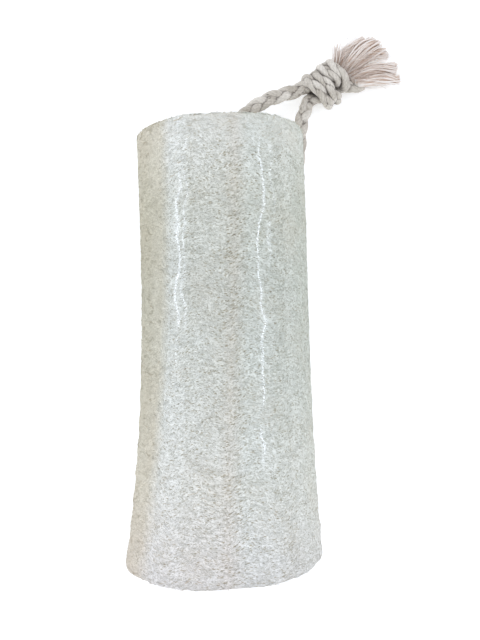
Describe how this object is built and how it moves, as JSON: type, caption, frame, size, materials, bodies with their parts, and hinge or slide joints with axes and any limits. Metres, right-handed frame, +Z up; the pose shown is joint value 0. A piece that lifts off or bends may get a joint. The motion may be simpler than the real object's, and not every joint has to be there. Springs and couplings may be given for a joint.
{
  "type": "natural loofah sponge",
  "caption": "Dried loofah sponge, a fibrous cylinder thicker at one end with open seed cavities along it, and a plaited cotton hanging cord with an overhand knot and frayed ends.",
  "frame": {"origin": "on the table under the middle of the sponge, at the bottom centre of the sponge's own box", "axes": "+Z up, +Y along the sponge towards the end with the cord, +X to the right when seen from above with +Y away"},
  "size_m": [0.101, 0.1942, 0.0672],
  "materials": {
    "loofah_fibre": "dry plant fibre, pale ivory, matte with a faint gloss along the sides",
    "cotton_cord": "undyed plaited cotton, matte",
    "cotton_yarn": "undyed loose cotton yarn, matte"
  },
  "bodies": {
    "root": {"loofah_body": "loofah_fibre", "hanging_cord": "cotton_cord", "overhand_knot": "cotton_cord", "frayed_tassel": "cotton_yarn"}
  },
  "joints": []
}
